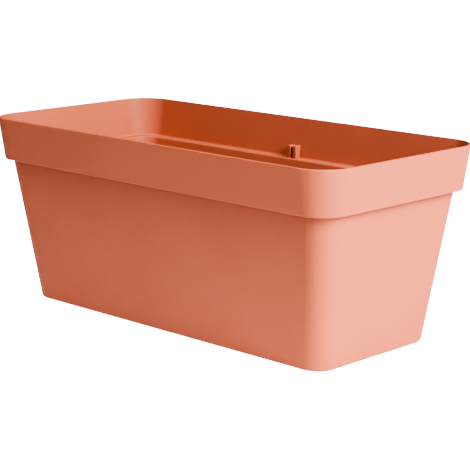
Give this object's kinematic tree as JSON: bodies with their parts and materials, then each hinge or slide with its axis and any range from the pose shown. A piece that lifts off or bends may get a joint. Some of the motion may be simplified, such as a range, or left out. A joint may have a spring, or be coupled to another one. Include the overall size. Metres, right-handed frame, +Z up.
{
  "type": "self watering planter",
  "caption": "Long terracotta-coloured plastic trough planter with a stepped collar, a water reservoir under a slotted plate, a filler tube and a level gauge.",
  "frame": {"origin": "centre of the footprint, on the surface the trough stands on", "axes": "+X along the length, +Y to the back wall with the overflow plugs, +Z up"},
  "size_m": [0.6, 0.292, 0.247],
  "materials": {
    "terracotta_plastic": "fine satin moulded surface",
    "insert_plastic": "matte",
    "steel_pin": "plain",
    "clear_plastic": "clear",
    "float_foam": "closed-cell foam",
    "rod_aluminium": "plain",
    "pointer_red": "gloss",
    "seal_rubber": "matte"
  },
  "bodies": {
    "trough": {"trough": "terracotta_plastic"},
    "insert": {"separator_plate": "insert_plastic", "soil_basket_left": "insert_plastic", "soil_basket_right": "insert_plastic", "support_pillars": "insert_plastic", "filler_tube": "insert_plastic", "lid_hinge_pin": "steel_pin", "float_cage": "insert_plastic", "gauge_tube": "insert_plastic", "gauge_window": "clear_plastic"},
    "lid": {"filler_lid": "terracotta_plastic"},
    "float": {"gauge_float": "float_foam", "float_rod": "rod_aluminium", "level_pointer": "pointer_red"},
    "overflow_plug_left": {"overflow_plug_left": "insert_plastic", "overflow_washer_left": "seal_rubber"},
    "overflow_plug_right": {"overflow_plug_right": "insert_plastic", "overflow_washer_right": "seal_rubber"},
    "drain_plug": {"drain_plug": "insert_plastic", "drain_washer": "seal_rubber"}
  },
  "joints": [
    {"name": "insert_lift", "type": "slide", "parent": "trough", "child": "insert", "axis": [0, 0, 1], "range_m": [0, 0.25]},
    {"name": "lid_hinge", "type": "hinge", "parent": "insert", "child": "lid", "pos_m": [-0.20419, -0.10051, 0.2134], "axis": [1, 0, 0], "range_deg": [0, 105]},
    {"name": "float_rise", "type": "slide", "parent": "insert", "child": "float", "axis": [0, 0, 1], "range_m": [0, 0.022]},
    {"name": "overflow_plug_left_pull", "type": "slide", "parent": "trough", "child": "overflow_plug_left", "axis": [0, 1, 0], "range_m": [0, 0.02]},
    {"name": "overflow_plug_right_pull", "type": "slide", "parent": "trough", "child": "overflow_plug_right", "axis": [0, 1, 0], "range_m": [0, 0.02]},
    {"name": "drain_plug_pull", "type": "slide", "parent": "trough", "child": "drain_plug", "axis": [0, 0, 1], "range_m": [0, 0.016]}
  ]
}
